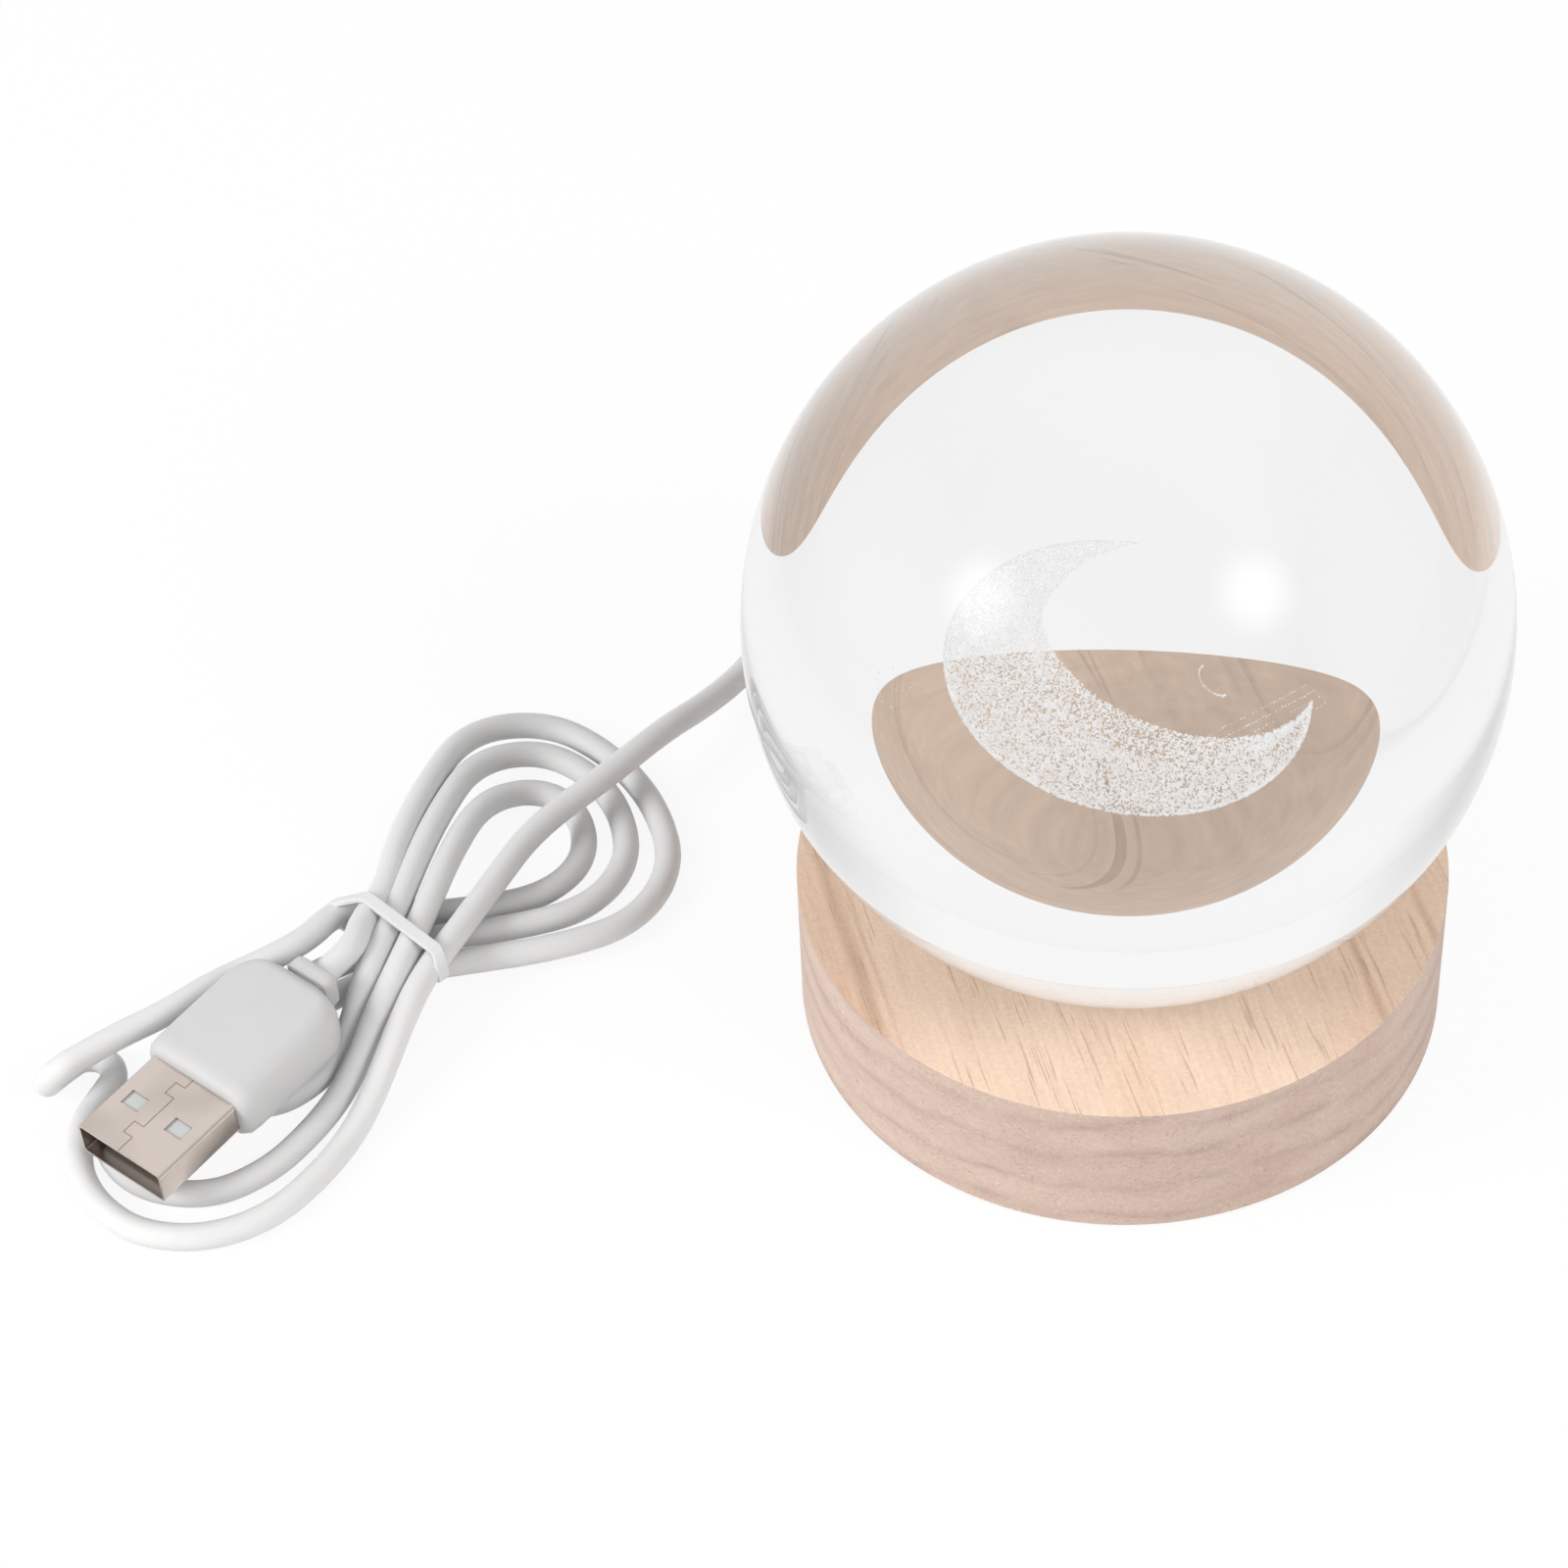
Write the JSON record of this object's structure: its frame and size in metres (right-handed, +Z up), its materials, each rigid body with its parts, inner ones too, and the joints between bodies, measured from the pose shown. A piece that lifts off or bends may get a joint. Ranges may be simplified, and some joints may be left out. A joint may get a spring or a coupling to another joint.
{
  "type": "crystal ball night light",
  "caption": "Solid glass ball with an engraved crescent moon, resting on a turned wooden LED base, with a white cord folded into a tied hank and a flat plug.",
  "frame": {"origin": "on the table under the middle of the round base", "axes": "+Z up, +Y to the back where the cord leaves the base, +X to the right in the picture"},
  "size_m": [0.1597, 0.1091, 0.0967],
  "materials": {
    "pale_wood": "fine sanded, unvarnished",
    "crystal_glass": "polished clear",
    "engraved_glass": "white micro-fracture dots",
    "frosted_plastic": "frosted",
    "circuit_board": "white solder mask",
    "lamp_chips": "phosphor",
    "resistor_body": "matte",
    "steel": "zinc plated",
    "black_plastic": "moulded",
    "foam_pad": "matte foam",
    "white_pvc": "soft satin",
    "red_wire": "satin",
    "black_wire": "satin",
    "solder": "dull bright",
    "glue": "translucent satin",
    "plug_metal": "nickel plated",
    "plug_tongue": "moulded",
    "gold_contact": "plated",
    "tie_white": "flat strip"
  },
  "bodies": {
    "root": {"wooden_base": "pale_wood", "light_diffuser": "frosted_plastic", "led_board": "circuit_board", "led_chips": "lamp_chips", "chip_resistors": "resistor_body", "board_screws": "steel", "bottom_cover": "black_plastic", "cover_screws": "steel", "base_pad": "foam_pad", "cord_lead_in": "white_pvc", "glue_anchor": "glue", "solder_joints": "solder", "lead_wire_red": "red_wire", "lead_wire_black": "black_wire", "cord_run": "white_pvc", "cord_hank": "white_pvc", "cable_tie": "tie_white", "plug_shell": "plug_metal", "plug_insulator": "plug_tongue", "plug_contacts": "gold_contact", "plug_overmould": "white_pvc", "plug_strain_relief": "white_pvc"},
    "crystal_ball": {"crystal_ball": "crystal_glass", "crescent_engraving": "engraved_glass"}
  },
  "joints": [
    {"name": "ball_lift", "type": "slide", "parent": "root", "child": "crystal_ball", "axis": [0, 0, 1], "range_m": [0, 0.1]}
  ]
}
